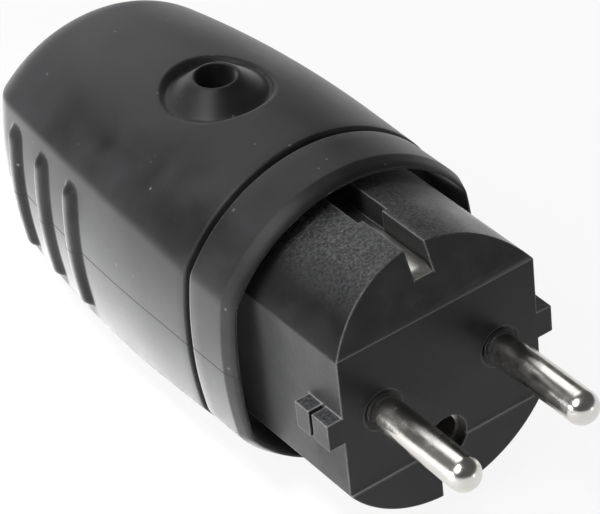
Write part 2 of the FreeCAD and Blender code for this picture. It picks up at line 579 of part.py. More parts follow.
# Cord clamp: a strap over the cable, with a foot on each side
strap = doc.addObject("PartDesign::Body", "clamp_strap")
inner, outer = "clamp_gap_half_width", "(clamp_gap_half_width + clamp_thickness)"
foot = "(clamp_gap_half_width + clamp_thickness + clamp_foot)"
foot_top = f"({DECK_TOP} + clamp_thickness)"
arch, arch_top = f"({DECK_TOP} + clamp_gap_height)", f"({DECK_TOP} + clamp_gap_height + clamp_thickness)"
half = ((inner, arch), (inner, DECK_TOP), (foot, DECK_TOP),
        (foot, foot_top), (outer, foot_top), (outer, arch_top))
outline = half + tuple((f"-{x}", z) for x, z in reversed(half))
strap_sketch = polygon(strap, "strap_outline", "XZ_Plane", outline, f"-{CLAMP_FRONT}")
extrude(strap, "Pad", "strap_pad", strap_sketch, "clamp_length", reverse=True)
strap_holes = [post(side + "_strap_hole", THREAD_RADIUS, f"{DECK_TOP} - {OVERCUT}",
                    f"{foot_top} + {OVERCUT}", f"{sign}{CLAMP_SCREW_X}", CLAMP_SCREW_Y)
               for side, sign in (("left", "-"), ("right", ""))]
node("cord_clamp", cut("strap_cut", strap, *strap_holes))

# Hood: a crown and two cheeks share the upper half, and the lower half mirrors it at the parting plane
top_radius = arc_radius(EDGE_Z, "hood_half_height", EDGE_X)
side_radius = arc_radius(EDGE_X, "hood_half_width", EDGE_Z)
crown = barrel("crown", top_radius, "top_bow", "crown_drop")
crown.setExpression("Placement.Base.z", cell(f"hood_half_height - {top_radius}"))
right_cheek = barrel("right_cheek", side_radius, "side_bow")
right_cheek.setExpression("Placement.Base.x", cell(f"hood_half_width - {side_radius}"))
cheeks = common("cheeks", right_cheek, mirror("left_cheek", right_cheek, V(1, 0, 0)))
mould_space = block("mould_space", ("-2 * hood_half_width", "2 * hood_half_width"),
                    (HOOD_FRONT, f"{HOOD_END} + {OVERCUT}"), ("0", "2 * hood_half_height"))
upper_half = common("upper_half", common("upper_form", crown, cheeks), mould_space)
hood_body = fuse("hood_body", upper_half, mirror("lower_half", upper_half, V(0, 0, 1)))

# Hood: groove, band and bevelled lip of the collar
collar = doc.addObject("PartDesign::Body", "collar")
groove = inset_cushion(collar, "groove_section", GROOVE_FRONT, "groove_depth")
extrude(collar, "Pad", "groove_pad", groove, f"groove_width + {OVERCUT}", reverse=True)
band = inset_cushion(collar, "band_section", CREASE, "band_inset")
extrude(collar, "Pad", "band_pad", band, "band_length", reverse=True)
crease = inset_cushion(collar, "crease_section", CREASE, "band_inset")
lip_inset = "band_inset + lip_bevel"
lip = inset_cushion(collar, "lip_section", "collar_setback", lip_inset)
loft(collar, "AdditiveLoft", "lip_loft", [lip, crease])
mouth = inset_cushion(collar, "mouth_section", "collar_setback", f"{lip_inset} + lip_edge")
cup_floor = inset_cushion(collar, "cup_floor_section", "insert_length", f"{lip_inset} + lip_edge + cup_draft")
loft(collar, "SubtractiveLoft", "cup", [mouth, cup_floor])
hood = fuse("hood_form", hood_body, collar)

# Hood: seat for the flange, wiring chamber, funnel and cable entry
funnel_end = f"{CHAMBER_REAR} + funnel_length"
seat = rod("seat", "flange_radius + seat_clearance", f"insert_length - {OVERCUT}", FLANGE_REAR)
chamber = rod("chamber", "chamber_radius", FLANGE_REAR, CHAMBER_REAR)
funnel = primitive("Cone", "funnel", {"Radius1": "chamber_radius", "Radius2": "cable_radius + funnel_margin",
                                      "Height": "funnel_length"}, ("0", CHAMBER_REAR, "0"), REARWARD)
cable_entry = rod("cable_entry", "cable_radius", f"{funnel_end} - {OVERCUT}", f"{HOOD_END} + {OVERCUT}")
hood_shell = cut("hood_shell", hood, seat, chamber, funnel, cable_entry)

# Hood: bowed grip ribs on both sides
ribs = []
for index in range(3):
    rib_y = f"(rib_setback + rib_pitch * {index})"
    rib_side = hood_side(rib_y)
    rib = doc.addObject("PartDesign::Body", f"rib_{index}_block")
    rib_foot = stadium(rib, f"rib_{index}_foot", f"{rib_side} - side_bulge - rib_root", rib_y)
    extrude(rib, "Pad", f"rib_{index}_flanks", rib_foot, "side_bulge + rib_root + 2 * rib_proud")
    crest = rod(f"rib_{index}_crest", f"{side_radius} + rib_proud", f"{rib_y} - 2 * rib_width",
                f"{rib_y} + 2 * rib_width", x=f"{rib_side} - {side_radius}")
    ribs.append(common(f"rib_{index}", rib, crest))
right_ribs = fuse("right_ribs", *ribs)
left_ribs = mirror("left_ribs", right_ribs, V(1, 0, 0))

# Hood: screw recess with a cone round the access hole, over a boss on the carrier's post, and a flat below
recess_low = "(hood_half_height - recess_depth)"
boss = post("boss", "boss_radius", "post_top", recess_low, y="recess_setback")
recess_place = ("0", "recess_setback", recess_low)
dish = primitive("Cone", "dish", {"Radius1": "recess_floor_radius",
                                  "Radius2": "2 * recess_radius - recess_floor_radius",
                                  "Height": "2 * recess_depth"}, recess_place)
cone = primitive("Cone", "cone", {"Radius1": "boss_foot_radius", "Radius2": "boss_tip_radius",
                                  "Height": "recess_depth - boss_drop"}, recess_place)
recess = cut("recess", dish, cone)
access = post("access", "access_radius", SCREW_LEDGE, f"hood_half_height + {OVERCUT}", y="recess_setback")
screw_way = post("screw_way", "hood_screw_radius + 2 * screw_clearance", f"post_top - {OVERCUT}",
                 f"{SCREW_LEDGE} + {OVERCUT}", y="recess_setback")
rest_flat = block("rest_flat", ("-hood_half_width", "hood_half_width"), ("collar_setback", HOOD_END),
                  (f"-hood_half_height - {OVERCUT}", "rest_flat_depth - hood_half_height"))
hood_solid = fuse("hood_solid", hood_shell, right_ribs, left_ribs, boss)
node("rubber_hood", cut("hood_cut", hood_solid, recess, access, screw_way, rest_flat))
upright_screw("hood_screw", "hood_screw_radius", "hood_screw_length", "hood_screw_head_radius",
              "hood_screw_head_height", SCREW_LEDGE, "0", "recess_setback")

# Every feature and every piece has to be sound before anything is written
doc.removeObject("gauge")
doc.recompute()
for item in doc.Objects:
    if "Invalid" in item.State or "Error" in item.State:
        raise RuntimeError(f"{item.Name} failed: {item.State}")
os.makedirs("parts", exist_ok=True)
for label, feature in nodes.items():
    if feature.Shape.isNull() or not feature.Shape.isValid():
        raise RuntimeError(f"{label} is not a sound solid")
for label, feature in nodes.items():
    solids = feature.Shape.Solids
    shape = solids[0] if len(solids) == 1 else Part.makeCompound(solids)
    shape.exportStep(f"parts/{label}.step")
    print(label, len(solids), "solid", round(shape.Volume, 1), "mm3")
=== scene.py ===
# %% [markdown]
# # A rewireable earthed plug
# This lesson dresses a CAD model of a mains plug in Blender. The CAD frame gives every piece its place. The
# visible mouldings are modelled again with the edges that a mould leaves, and every surface gets a procedural
# finish. Lengths are written in millimetres and turned to metres where a mesh is made.

import math

import bmesh
import bpy
from mathutils import Matrix, Vector


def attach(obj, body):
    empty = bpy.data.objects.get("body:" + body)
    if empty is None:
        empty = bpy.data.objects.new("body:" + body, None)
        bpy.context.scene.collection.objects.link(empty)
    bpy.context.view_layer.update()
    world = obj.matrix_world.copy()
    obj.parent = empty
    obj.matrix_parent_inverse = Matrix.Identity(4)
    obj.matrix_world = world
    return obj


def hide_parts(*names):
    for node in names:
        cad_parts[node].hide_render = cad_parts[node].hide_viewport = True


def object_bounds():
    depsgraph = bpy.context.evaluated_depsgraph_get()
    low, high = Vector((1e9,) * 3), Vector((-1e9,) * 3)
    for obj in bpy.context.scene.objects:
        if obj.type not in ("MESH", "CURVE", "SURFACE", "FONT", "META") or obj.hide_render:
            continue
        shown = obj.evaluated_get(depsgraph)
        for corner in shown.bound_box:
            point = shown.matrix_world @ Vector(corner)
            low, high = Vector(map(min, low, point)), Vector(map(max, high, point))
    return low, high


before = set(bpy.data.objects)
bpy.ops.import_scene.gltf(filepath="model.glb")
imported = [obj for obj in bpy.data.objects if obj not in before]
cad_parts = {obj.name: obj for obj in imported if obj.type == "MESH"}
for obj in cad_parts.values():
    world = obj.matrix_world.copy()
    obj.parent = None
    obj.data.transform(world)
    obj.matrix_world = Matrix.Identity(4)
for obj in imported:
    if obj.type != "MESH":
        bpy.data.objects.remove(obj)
cad_low, cad_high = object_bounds()
MM = 0.001
print("CAD box in mm", [round(v / MM, 1) for v in cad_high - cad_low])

# %% [markdown]
# ## Camera
# The photograph looks down on the pins from the left, with a slight roll. A long lens at 42 cm gives the mild
# perspective. The camera could be turned with Euler angles, but a matrix built from three directions is easier
# to check: right, up and back are its columns.

# %% Camera
PHOTO_WIDTH, PHOTO_HEIGHT = 600, 514
PIXELS_PER_MM = 7.536
CAMERA_DISTANCE = 422.24
AZIMUTH, ELEVATION, ROLL = (math.radians(angle) for angle in (-31.9, 36.96, 6.655))
AIM_POINT = Vector((0, 20, 0))
AIM_PIXEL = (349.7, 306.7)
SENSOR_WIDTH = 36

back = Vector((math.sin(AZIMUTH) * math.cos(ELEVATION), -math.cos(AZIMUTH) * math.cos(ELEVATION),
               math.sin(ELEVATION)))
level_right = (-back).cross(Vector((0, 0, 1))).normalized()
level_down = (-back).cross(level_right)
right = level_right * math.cos(ROLL) + level_down * math.sin(ROLL)
down = level_down * math.cos(ROLL) - level_right * math.sin(ROLL)
aim_right = (AIM_PIXEL[0] - PHOTO_WIDTH / 2) / PIXELS_PER_MM
aim_down = (AIM_PIXEL[1] - PHOTO_HEIGHT / 2) / PIXELS_PER_MM
eye = AIM_POINT - right * aim_right - down * aim_down + back * CAMERA_DISTANCE

lens = bpy.data.cameras.new("camera")
lens.sensor_width = SENSOR_WIDTH
lens.lens = PIXELS_PER_MM * CAMERA_DISTANCE / PHOTO_WIDTH * SENSOR_WIDTH
lens.clip_start = 0.01
camera = bpy.data.objects.new("camera", lens)
bpy.context.scene.collection.objects.link(camera)
camera.matrix_world = Matrix.Translation(eye * MM) @ Matrix((right, -down, back)).transposed().to_4x4()
bpy.context.scene.camera = camera
print("lens", round(lens.lens, 1), "mm")

# %% [markdown]
# ## Section of the hood
# The rubber hood is a barrel with four bowed sides that meet in long edges. A box with bevelled corners would
# miss the bow, so a section is the overlap of four circles: a crown above and below, a cheek on each side. The
# distance from the axis to that overlap is worked out for a direction, and a soft minimum of the two circles
# rounds the long edges as a mould does.

# %% Section of the hood
HALF_WIDTH, HALF_HEIGHT = 20.7, 22.6
SIDE_BULGE, TOP_RISE = 1.1, 11.0
EDGE_ROUNDING = 0.3
# Share of an inset by which the long edge moves in and down
EDGE_IN, EDGE_DOWN = 0.8, 0.6


def arc_radius(rise, half_span):
    return (half_span ** 2 + rise ** 2) / (2 * rise)


def soft_lower(a, b, blend):
    """The smaller of two lengths, with a rounded change-over."""
    overlap = max(blend - abs(a - b), 0) / blend
    return min(a, b) - overlap ** 2 * blend / 4


def reach(offset, radius, share):
    """Distance from the axis to a circle whose centre is off the axis, along a direction."""
    along = offset * share
    return along + math.sqrt(max(along ** 2 - offset ** 2 + radius ** 2, 0))


def section_reach(angle, top, side):
    """Top and side are each the radius of a circle and the offset of its centre."""
    to_top = reach(top[1], top[0], abs(math.sin(angle)))
    to_side = reach(side[1], side[0], abs(math.cos(angle)))
    return soft_lower(to_top, to_side, EDGE_ROUNDING)


def inset_section(inset):
    """The hood's front section, drawn in all round."""
    width, height = HALF_WIDTH - inset, HALF_HEIGHT - inset
    edge_x = HALF_WIDTH - SIDE_BULGE - EDGE_IN * inset
    edge_z = HALF_HEIGHT - TOP_RISE - EDGE_DOWN * inset
    top = arc_radius(height - edge_z, edge_x)
    side = arc_radius(width - edge_x, edge_z)
    return (top, height - top), (side, width - side)


front_top, front_side = inset_section(0)
print("front section: crown radius", round(front_top[0], 1), "cheek radius", round(front_side[0], 1))

# %% [markdown]
# ## Taper of the hood
# Towards the cable each side bows inwards on a large radius and ends in a small one. Scaling the section would
# keep its shape all the way, so each circle's radius is worked out at any distance behind the contact face
# instead. The centre of the crown falls towards the rear, which makes the top flatter there.

# %% Taper of the hood
HOOD_FRONT, HOOD_END = 27.9, 84.7
TAPER_START = 38.0
SIDE_BOW, TOP_BOW, END_ROUND = 261.0, 236.0, 9.3
CROWN_DROP = 3.2
BODY_END = HOOD_END - END_ROUND


def barrel_radius(y, radius, bow):
    if y <= TAPER_START:
        return radius
    run = BODY_END - TAPER_START
    rise = math.sqrt((bow - END_ROUND) ** 2 - run ** 2)
    change = TAPER_START + bow * run / (bow - END_ROUND)
    if y <= change:
        return radius - bow + math.sqrt(bow ** 2 - (y - TAPER_START) ** 2)
    return radius - bow + rise + math.sqrt(max(END_ROUND ** 2 - (y - BODY_END) ** 2, 0))


def body_section(y):
    (top, top_offset), (side, side_offset) = inset_section(0)
    fall = CROWN_DROP * (y - HOOD_FRONT) / (HOOD_END - HOOD_FRONT)
    crown = barrel_radius(y, top, TOP_BOW) + fall, top_offset - fall
    return crown, (barrel_radius(y, side, SIDE_BOW), side_offset)


rear_top, rear_side = body_section(BODY_END)
print("before the rear end: half width", round(sum(rear_side), 1), "half height", round(sum(rear_top), 1))

# %% [markdown]
# ## Stations of the hood
# The hood is one moulding with a cup in front, a lip, a band, a groove, the body, a cable entry and a wiring
# chamber. It could be joined from several solids, but one skin has no seams. So a ring of points will go from
# station to station, over the outside and back through the inside. Close pairs of stations keep an edge crisp
# where the rubber has one, and the body has fine steps where the recess and the ribs will be.

# %% Stations of the hood
SEAT_RADIUS, CHAMBER_RADIUS, FUNNEL_RADIUS, CABLE_RADIUS, REAR_FACE_RADIUS = 18.1, 16.8, 7.0, 5.3, 7.5
CUP_FLOOR, SEAT_REAR, CHAMBER_REAR, FUNNEL_REAR = 25.05, 30.0, 66.0, 77.0
BODY_START, RIBS_START = 28.4, 54.6
ENTRY_ROUNDING, ROUNDING_SAG = 0.5, 0.15
PLAIN_PITCH, RECESS_PITCH, RIB_PITCH, END_PITCH_DEGREES = 1.6, 0.27, 0.25, 5


def steps(first, last, pitch):
    count = max(round((last - first) / pitch), 1)
    return [first + (last - first) * i / count for i in range(count)]


def round_section(radius):
    """A plain circle: the second one is too far out to change it."""
    return (radius, 0), (radius + EDGE_ROUNDING, 0)


# Each pair is a distance behind the contact face and an inset from the front section
collar = [(CUP_FLOOR, 2.0), (24.9, 1.95), (18.1, 1.42), (17.85, 1.38), (17.8, 1.32), (17.8, 1.08),
          (17.85, 0.98), (18.8, 0.6), (19.75, 0.26), (19.95, 0.2), (20.2, 0.2), (22.5, 0.2), (25.0, 0.2),
          (26.85, 0.2), (27.05, 0.24), (27.12, 0.36), (27.16, 1.0), (27.25, 1.1), (27.75, 1.1), (27.84, 1.0),
          (27.88, 0.36), (27.95, 0.16), (28.12, 0.03)]
body = steps(BODY_START, TAPER_START, PLAIN_PITCH) + steps(TAPER_START, RIBS_START, RECESS_PITCH)
body += steps(RIBS_START, BODY_END, RIB_PITCH)
body += [BODY_END + END_ROUND * math.sin(math.radians(turn)) for turn in range(0, 91, END_PITCH_DEGREES)]
# Each pair is a distance behind the contact face and a radius
inside = [(HOOD_END, REAR_FACE_RADIUS), (HOOD_END, CABLE_RADIUS + ENTRY_ROUNDING),
          (HOOD_END - ROUNDING_SAG, CABLE_RADIUS + ROUNDING_SAG), (HOOD_END - ENTRY_ROUNDING, CABLE_RADIUS),
          (FUNNEL_REAR, CABLE_RADIUS), (FUNNEL_REAR, FUNNEL_RADIUS), (CHAMBER_REAR, CHAMBER_RADIUS),
          (SEAT_REAR, CHAMBER_RADIUS), (SEAT_REAR, SEAT_RADIUS)]

stations = [(CUP_FLOOR, round_section(SEAT_RADIUS))]
stations += [(y, inset_section(inset)) for y, inset in collar]
stations += [(y, body_section(y)) for y in body]
stations += [(y, round_section(radius)) for y, radius in inside]
print(len(stations), "stations")

# %% [markdown]
# ## Rings
# Faces could be listed by hand, but operators are safer: `create_circle` gives the first ring,
# `extrude_edge_only` each further one, and `bridge_loops` joins the last ring to the first. The points are
# closer together on the top, where the screw recess needs them.

# %% Rings
RING_POINTS = 384
TOP_CROWDING = 0.15


def place_ring(ring, station):
    y, (top, side) = station
    for vert in ring:
        angle = math.atan2(vert.co.z, vert.co.x)
        distance = section_reach(angle, top, side) * MM
        vert.co = (distance * math.cos(angle), y * MM, distance * math.sin(angle))


hood_mesh = bmesh.new()
ring = bmesh.ops.create_circle(hood_mesh, segments=RING_POINTS, radius=1)["verts"]
for vert in ring:
    angle = math.atan2(vert.co.y, vert.co.x)
    angle += TOP_CROWDING * math.sin(2 * angle)
    vert.co = (math.cos(angle), 0, math.sin(angle))
place_ring(ring, stations[0])
first_edges = hood_mesh.edges[:]
edges = first_edges
for station in stations[1:]:
    grown = bmesh.ops.extrude_edge_only(hood_mesh, edges=edges)["geom"]
    edges = [item for item in grown if isinstance(item, bmesh.types.BMEdge)]
    edges = [edge for edge in edges if len(edge.link_faces) == 1 and edge not in first_edges]
    place_ring([item for item in grown if isinstance(item, bmesh.types.BMVert)], station)
bmesh.ops.bridge_loops(hood_mesh, edges=first_edges + edges)
bmesh.ops.recalc_face_normals(hood_mesh, faces=hood_mesh.faces)
open_edges = sum(len(edge.link_faces) != 2 for edge in hood_mesh.edges)
print(len(hood_mesh.faces), "faces,", open_edges, "open edges")

# %% [markdown]
# ## Grip ribs
# Three rounded ribs on each side give the fingers a hold. Separate rods would leave a hard line round each, and
# on the real hood the ribs belong to the moulding. So the points of the skin are raised instead.

# %% Grip ribs
RIB_PLACES = (56.5, 65.0, 73.5)
RIB_PROUD, RIB_HALF_WIDTH, RIB_HALF_LENGTH, RIB_END = 1.15, 1.7, 8.4, 1.8
# At 2 the outline of an end is an ellipse and at more it is squarer; the profile gets fuller in the same way
RIB_SQUARENESS, RIB_FULLNESS = 3, 3
SKIN_REACH = CHAMBER_RADIUS + 0.4


def rib_height(y, z):
    for rib_y in RIB_PLACES:
        across = abs(y - rib_y) / RIB_HALF_WIDTH
        beyond = max(abs(z) - RIB_HALF_LENGTH, 0) / RIB_END
        share = (across ** RIB_SQUARENESS + beyond ** RIB_SQUARENESS) ** (1 / RIB_SQUARENESS)
        if share < 1:
            return RIB_PROUD * (1 - share ** RIB_FULLNESS)
    return 0


skin = [vert for vert in hood_mesh.verts if math.hypot(vert.co.x, vert.co.z) >= SKIN_REACH * MM]
raised = 0
for vert in skin:
    x, y, z = vert.co / MM
    height = rib_height(y, z)
    if height and abs(x) > HALF_WIDTH / 2:
        vert.co.x += math.copysign(height * MM, x)
        raised += 1
print(raised, "points raised")

# %% [markdown]
# ## Screw recess
# A round dish on the top holds a low cone with the screw hole. A Boolean would cut it with a knife-sharp rim.
# Here the points of the skin move to the height of the dish or the cone, and the soft minimum rounds the rims.
# Below, the skin is pressed flat along a narrow strip, on which the plug rests.

# %% Screw recess
RECESS_Y = 47.0
RECESS_RADIUS, RECESS_FLOOR_RADIUS, RECESS_DEPTH = 8.6, 7.3, 1.8
CONE_FOOT, CONE_TIP, CONE_RISE = 6.8, 3.3, 1.2
RIM_ROUNDING, RIM_MARGIN = 0.5, 2
REST_FLAT = 22.1


def recess_height(z, distance):
    """Height of the dish and its cone above the axis, at a distance from the screw."""
    floor = HALF_HEIGHT - RECESS_DEPTH
    steepness = RECESS_DEPTH / (RECESS_RADIUS - RECESS_FLOOR_RADIUS)
    wall = floor + max(distance - RECESS_FLOOR_RADIUS, 0) * steepness
    slope = (RECESS_DEPTH + CONE_RISE) / (CONE_FOOT - CONE_TIP)
    cone = min(floor + (CONE_FOOT - distance) * slope, HALF_HEIGHT + CONE_RISE)
    return -soft_lower(-soft_lower(z, wall, RIM_ROUNDING), -cone, RIM_ROUNDING)


sunk = 0
for vert in skin:
    x, y, z = vert.co / MM
    distance = math.hypot(x, y - RECESS_Y)
    if z > 0 and distance < RECESS_RADIUS + RIM_MARGIN:
        vert.co.z = recess_height(z, distance) * MM
        sunk += 1
    vert.co.z = max(vert.co.z, -REST_FLAT * MM)
print(sunk, "points moved")

# %% [markdown]
# ## Boss under the recess
# A boss inside the hood carries the screw head. It is a plain turned body, so it is spun from half its outline
# and joined to the hood by a Boolean. The helper applies the Boolean at once and leaves no tool behind.

# %% Boss under the recess
BOSS_RADIUS, BOSS_LOW, BOSS_TOP = 5.2, 9.05, 18
MERGE_DISTANCE = 0.001
UP = Vector((0, 0, 1))


def finished(name, mesh):
    data = bpy.data.meshes.new(name)
    mesh.to_mesh(data)
    mesh.free()
    piece = bpy.data.objects.new(name, data)
    bpy.context.scene.collection.objects.link(piece)
    return piece


def turned(name, profile, axis, centre, segments=64):
    """A closed body turned from points given as distance from the axis and height along it."""
    mesh = bmesh.new()
    side = axis.orthogonal().normalized()
    points = [mesh.verts.new((centre + side * distance + axis * height) * MM) for distance, height in profile]
    outline = [mesh.edges.new(pair) for pair in zip(points, points[1:])]
    bmesh.ops.spin(mesh, geom=points + outline, cent=centre * MM, axis=axis, angle=math.tau, steps=segments,
                   use_merge=True)
    bmesh.ops.remove_doubles(mesh, verts=mesh.verts, dist=MERGE_DISTANCE / 2 * MM)
    bmesh.ops.recalc_face_normals(mesh, faces=mesh.faces)
    return finished(name, mesh)


def apply_modifiers(piece):
    shaped = piece.evaluated_get(bpy.context.evaluated_depsgraph_get())
    data = bpy.data.meshes.new_from_object(shaped)
    piece.modifiers.clear()
    old = piece.data
    piece.data = data
    bpy.data.meshes.remove(old)
    data.name = piece.name


def combine(piece, tool, operation):
    change = piece.modifiers.new(operation, "BOOLEAN")
    change.object, change.operation, change.solver = tool, operation, "EXACT"
    apply_modifiers(piece)
    bpy.data.meshes.remove(tool.data)


hood = finished("hood_moulding", hood_mesh)
screw_axis = Vector((0, RECESS_Y, 0))
boss_outline = [(0, BOSS_LOW), (BOSS_RADIUS, BOSS_LOW), (BOSS_RADIUS, BOSS_TOP), (0, BOSS_TOP)]
combine(hood, turned("boss", boss_outline, UP, screw_axis), "UNION")
print("hood with its boss:", len(hood.data.polygons), "faces")

# %% [markdown]
# ## Screw hole
# The hole has a round edge that a grid of points can't follow, so it is cut by a Boolean with a turned tool. The
# tool flares at the top, which rounds the rim, and it has a ledge for the screw head. A Boolean leaves points
# that almost touch, so they are merged afterwards.

# %% Screw hole
HOLE_RADIUS, HOLE_FLARE, LEDGE = 2.9, 0.2, 11.5
SCREW_WAY, TOOL_LOW, TOOL_BEYOND = 1.75, 8, 2
FLARE_TURNS = range(0, 91, 18)
SHARP = math.radians(50)


def merge_slivers(piece):
    mesh = bmesh.new()
    mesh.from_mesh(piece.data)
    bmesh.ops.remove_doubles(mesh, verts=mesh.verts, dist=MERGE_DISTANCE * MM)
    bmesh.ops.dissolve_degenerate(mesh, dist=MERGE_DISTANCE * MM, edges=mesh.edges)
    mesh.to_mesh(piece.data)
    mesh.free()


cone_top = HALF_HEIGHT + CONE_RISE
flare = [(HOLE_RADIUS + HOLE_FLARE * (1 - math.cos(math.radians(turn))),
          cone_top + HOLE_FLARE * (math.sin(math.radians(turn)) - 1)) for turn in FLARE_TURNS]
hole = [(0, TOOL_LOW), (SCREW_WAY, TOOL_LOW), (SCREW_WAY, LEDGE), (HOLE_RADIUS, LEDGE)] + flare
hole += [(HOLE_RADIUS + HOLE_FLARE, cone_top + TOOL_BEYOND), (0, cone_top + TOOL_BEYOND)]
combine(hood, turned("hole", hole, UP, screw_axis), "DIFFERENCE")
merge_slivers(hood)
hood.data.shade_smooth()
hood.data.set_sharp_from_angle(angle=SHARP)
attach(hood, "root")
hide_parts("rubber_hood")
print("hood:", len(hood.data.polygons), "faces")

# %% [markdown]
# ## Moulded and pressed edges
# The hard insert and the earth strip have their shapes from CAD, with knife-sharp edges. Real mouldings and
# pressings have slightly broken edges, which catch the light. They need no new modelling: a copy is merged, its
# flat faces are joined, and a narrow bevel goes on every sharp edge. Weighted normals keep the large faces flat
# in the shading.

# %% Moulded and pressed edges
FLAT_ANGLE, BEVEL_ANGLE = math.radians(1), math.radians(35)
INSERT_EDGE, STRIP_EDGE = 0.18, 0.1


def broken_edges(node, name, width, segments=2):
    mesh = bmesh.new()
    mesh.from_mesh(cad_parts[node].data)
    bmesh.ops.remove_doubles(mesh, verts=mesh.verts, dist=MERGE_DISTANCE * MM)
    bmesh.ops.dissolve_limit(mesh, angle_limit=FLAT_ANGLE, verts=mesh.verts, edges=mesh.edges)
    piece = finished(name, mesh)
    piece.data.shade_smooth()
    bevel = piece.modifiers.new("broken_edges", "BEVEL")
    bevel.width, bevel.segments, bevel.limit_method = width * MM, segments, "ANGLE"
    bevel.angle_limit = BEVEL_ANGLE
    bevel.use_clamp_overlap = False
    piece.modifiers.new("flat_faces", "WEIGHTED_NORMAL")
    apply_modifiers(piece)
    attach(piece, "root")
    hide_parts(node)
    print(name, len(piece.data.polygons), "faces")
    return piece


carrier = broken_edges("contact_carrier", "insert_moulding", INSERT_EDGE)
bracket = broken_edges("earth_bracket", "earth_strip", STRIP_EDGE)

# %% [markdown]
# ## Finishes
# Photographs of the materials would need UV maps and would show seams. Every finish is a node tree on Object
# coordinates instead, so it stays with the piece from any side. One function turns a hex colour to the linear
# values that a shader works in, and one adds a node with its settings and links.

# %% Finishes
def linear(code):
    """sRGB hex to linear colour."""
    shares = [int(code[i:i + 2], 16) / 255 for i in (1, 3, 5)]
    return [s / 12.92 if s <= 0.04045 else ((s + 0.055) / 1.055) ** 2.4 for s in shares] + [1]


def add_node(tree, kind, settings=(), links=()):
    node = tree.nodes.new(kind)
    for key, value in dict(settings).items():
        if isinstance(key, int) or key in node.inputs:
            node.inputs[key].default_value = value
        else:
            setattr(node, key, value)
    for key, socket in dict(links).items():
        tree.links.new(socket, node.inputs[key])
    return node


def per_mm(size):
    """Texture scale that gives features of a size in millimetres."""
    return 1 / (size * MM)


def new_material(name, shader):
    """A material with a principled shader, its tree and its object coordinates."""
    material = bpy.data.materials.new(name)
    material.use_nodes = True
    tree = material.node_tree
    surface = tree.nodes["Principled BSDF"]
    for key, value in shader.items():
        surface.inputs[key].default_value = value
    return material, tree, surface, add_node(tree, "ShaderNodeTexCoord").outputs["Object"]


def wear(material, piece):
    """Makes a material the only one of a piece or a CAD node."""
    piece.data.materials.clear()
    piece.data.materials.append(material)


print("mid grey in linear values:", round(linear("#808080")[0], 3))

# %% [markdown]
# ### Colour of the moulded rubber
# The hood is black rubber from a fine-blasted mould, so it is dark but not glossy, and its specular level is
# half of the usual one. A cloudy bloom has come to its skin, and a few pale specks cling to it. Specks could be
# single meshes, but a Voronoi pattern scatters them without any geometry, and noise thins them out.

# %% Colour of the moulded rubber
rubber, tree, surface, place = new_material("moulded_rubber", {"IOR": 1.5, "Specular IOR Level": 0.25,
                                                              "Sheen Roughness": 0.34})
cloud = add_node(tree, "ShaderNodeTexNoise", {"Scale": per_mm(9), "Detail": 6, "Roughness": 0.65},
                 {"Vector": place})
cloudy = add_node(tree, "ShaderNodeMapRange", {"From Min": 0.35, "From Max": 0.65},
                  {"Value": cloud.outputs["Fac"]})
bloom = add_node(tree, "ShaderNodeMix", {"data_type": "RGBA", 6: linear("#0c0c0d"), 7: linear("#1e1e20")},
                 {0: cloudy.outputs["Result"]})
speck_cells = add_node(tree, "ShaderNodeTexVoronoi", {"Scale": per_mm(2.6), "Randomness": 1}, {"Vector": place})
speck_spots = add_node(tree, "ShaderNodeMapRange",
                       {"From Min": 0.05, "From Max": 0.11, "To Min": 0.55, "To Max": 0},
                       {"Value": speck_cells.outputs["Distance"]})
speck_field = add_node(tree, "ShaderNodeTexNoise", {"Scale": per_mm(5), "Detail": 2}, {"Vector": place})
speck_share = add_node(tree, "ShaderNodeMapRange", {"From Min": 0.52, "From Max": 0.62},
                       {"Value": speck_field.outputs["Fac"]})
specks = add_node(tree, "ShaderNodeMath", {"operation": "MULTIPLY"},
                  {0: speck_spots.outputs["Result"], 1: speck_share.outputs["Result"]})
speckled = add_node(tree, "ShaderNodeMix", {"data_type": "RGBA", 7: linear("#77767a")},
                    {0: specks.outputs[0], 6: bloom.outputs[2]})
tree.links.new(speckled.outputs[2], surface.inputs["Base Color"])
print(rubber.name, len(tree.nodes), "nodes for its colour")

# %% [markdown]
# ### Dust and painted crown shade on the rubber
# Fine dust scatters light back at a low angle, which the shader's sheen does. A grey base colour would be grey
# from every side. The height of the normal thins the sheen on the crown: this is painted shade, which keeps the
# crown darker than the sides. No dust lies on the thin parting line where the two halves of the mould met.

# %% Dust and painted crown shade on the rubber
PARTING_LINE, PARTING_EDGE = 0.06, 0.18
dust = add_node(tree, "ShaderNodeMapRange", {"To Min": 0.75, "To Max": 1}, {"Value": cloudy.outputs["Result"]})
axes = add_node(tree, "ShaderNodeSeparateXYZ", links={"Vector": place})
height = add_node(tree, "ShaderNodeMath", {"operation": "ABSOLUTE"}, {0: axes.outputs["Z"]})
parting = add_node(tree, "ShaderNodeMapRange", {"From Min": PARTING_LINE * MM, "From Max": PARTING_EDGE * MM},
                   {"Value": height.outputs[0]})
bare_line = add_node(tree, "ShaderNodeMath", {"operation": "MULTIPLY"},
                     {0: dust.outputs["Result"], 1: parting.outputs["Result"]})
facing = add_node(tree, "ShaderNodeNewGeometry")
upward = add_node(tree, "ShaderNodeSeparateXYZ", links={"Vector": facing.outputs["Normal"]})
# Painted shade: less sheen where the normal points up, so the crown is darker than the sides
crown_painted_shade = add_node(tree, "ShaderNodeMapRange",
                    {"From Min": 0.25, "From Max": 0.55, "To Min": 1, "To Max": 0.4},
                    {"Value": upward.outputs["Z"]})
dust_and_crown_shade = add_node(tree, "ShaderNodeMath", {"operation": "MULTIPLY"},
                {0: bare_line.outputs[0], 1: crown_painted_shade.outputs["Result"]})
tree.links.new(dust_and_crown_shade.outputs[0], surface.inputs["Sheen Weight"])
print(rubber.name, len(tree.nodes), "nodes with its dust")

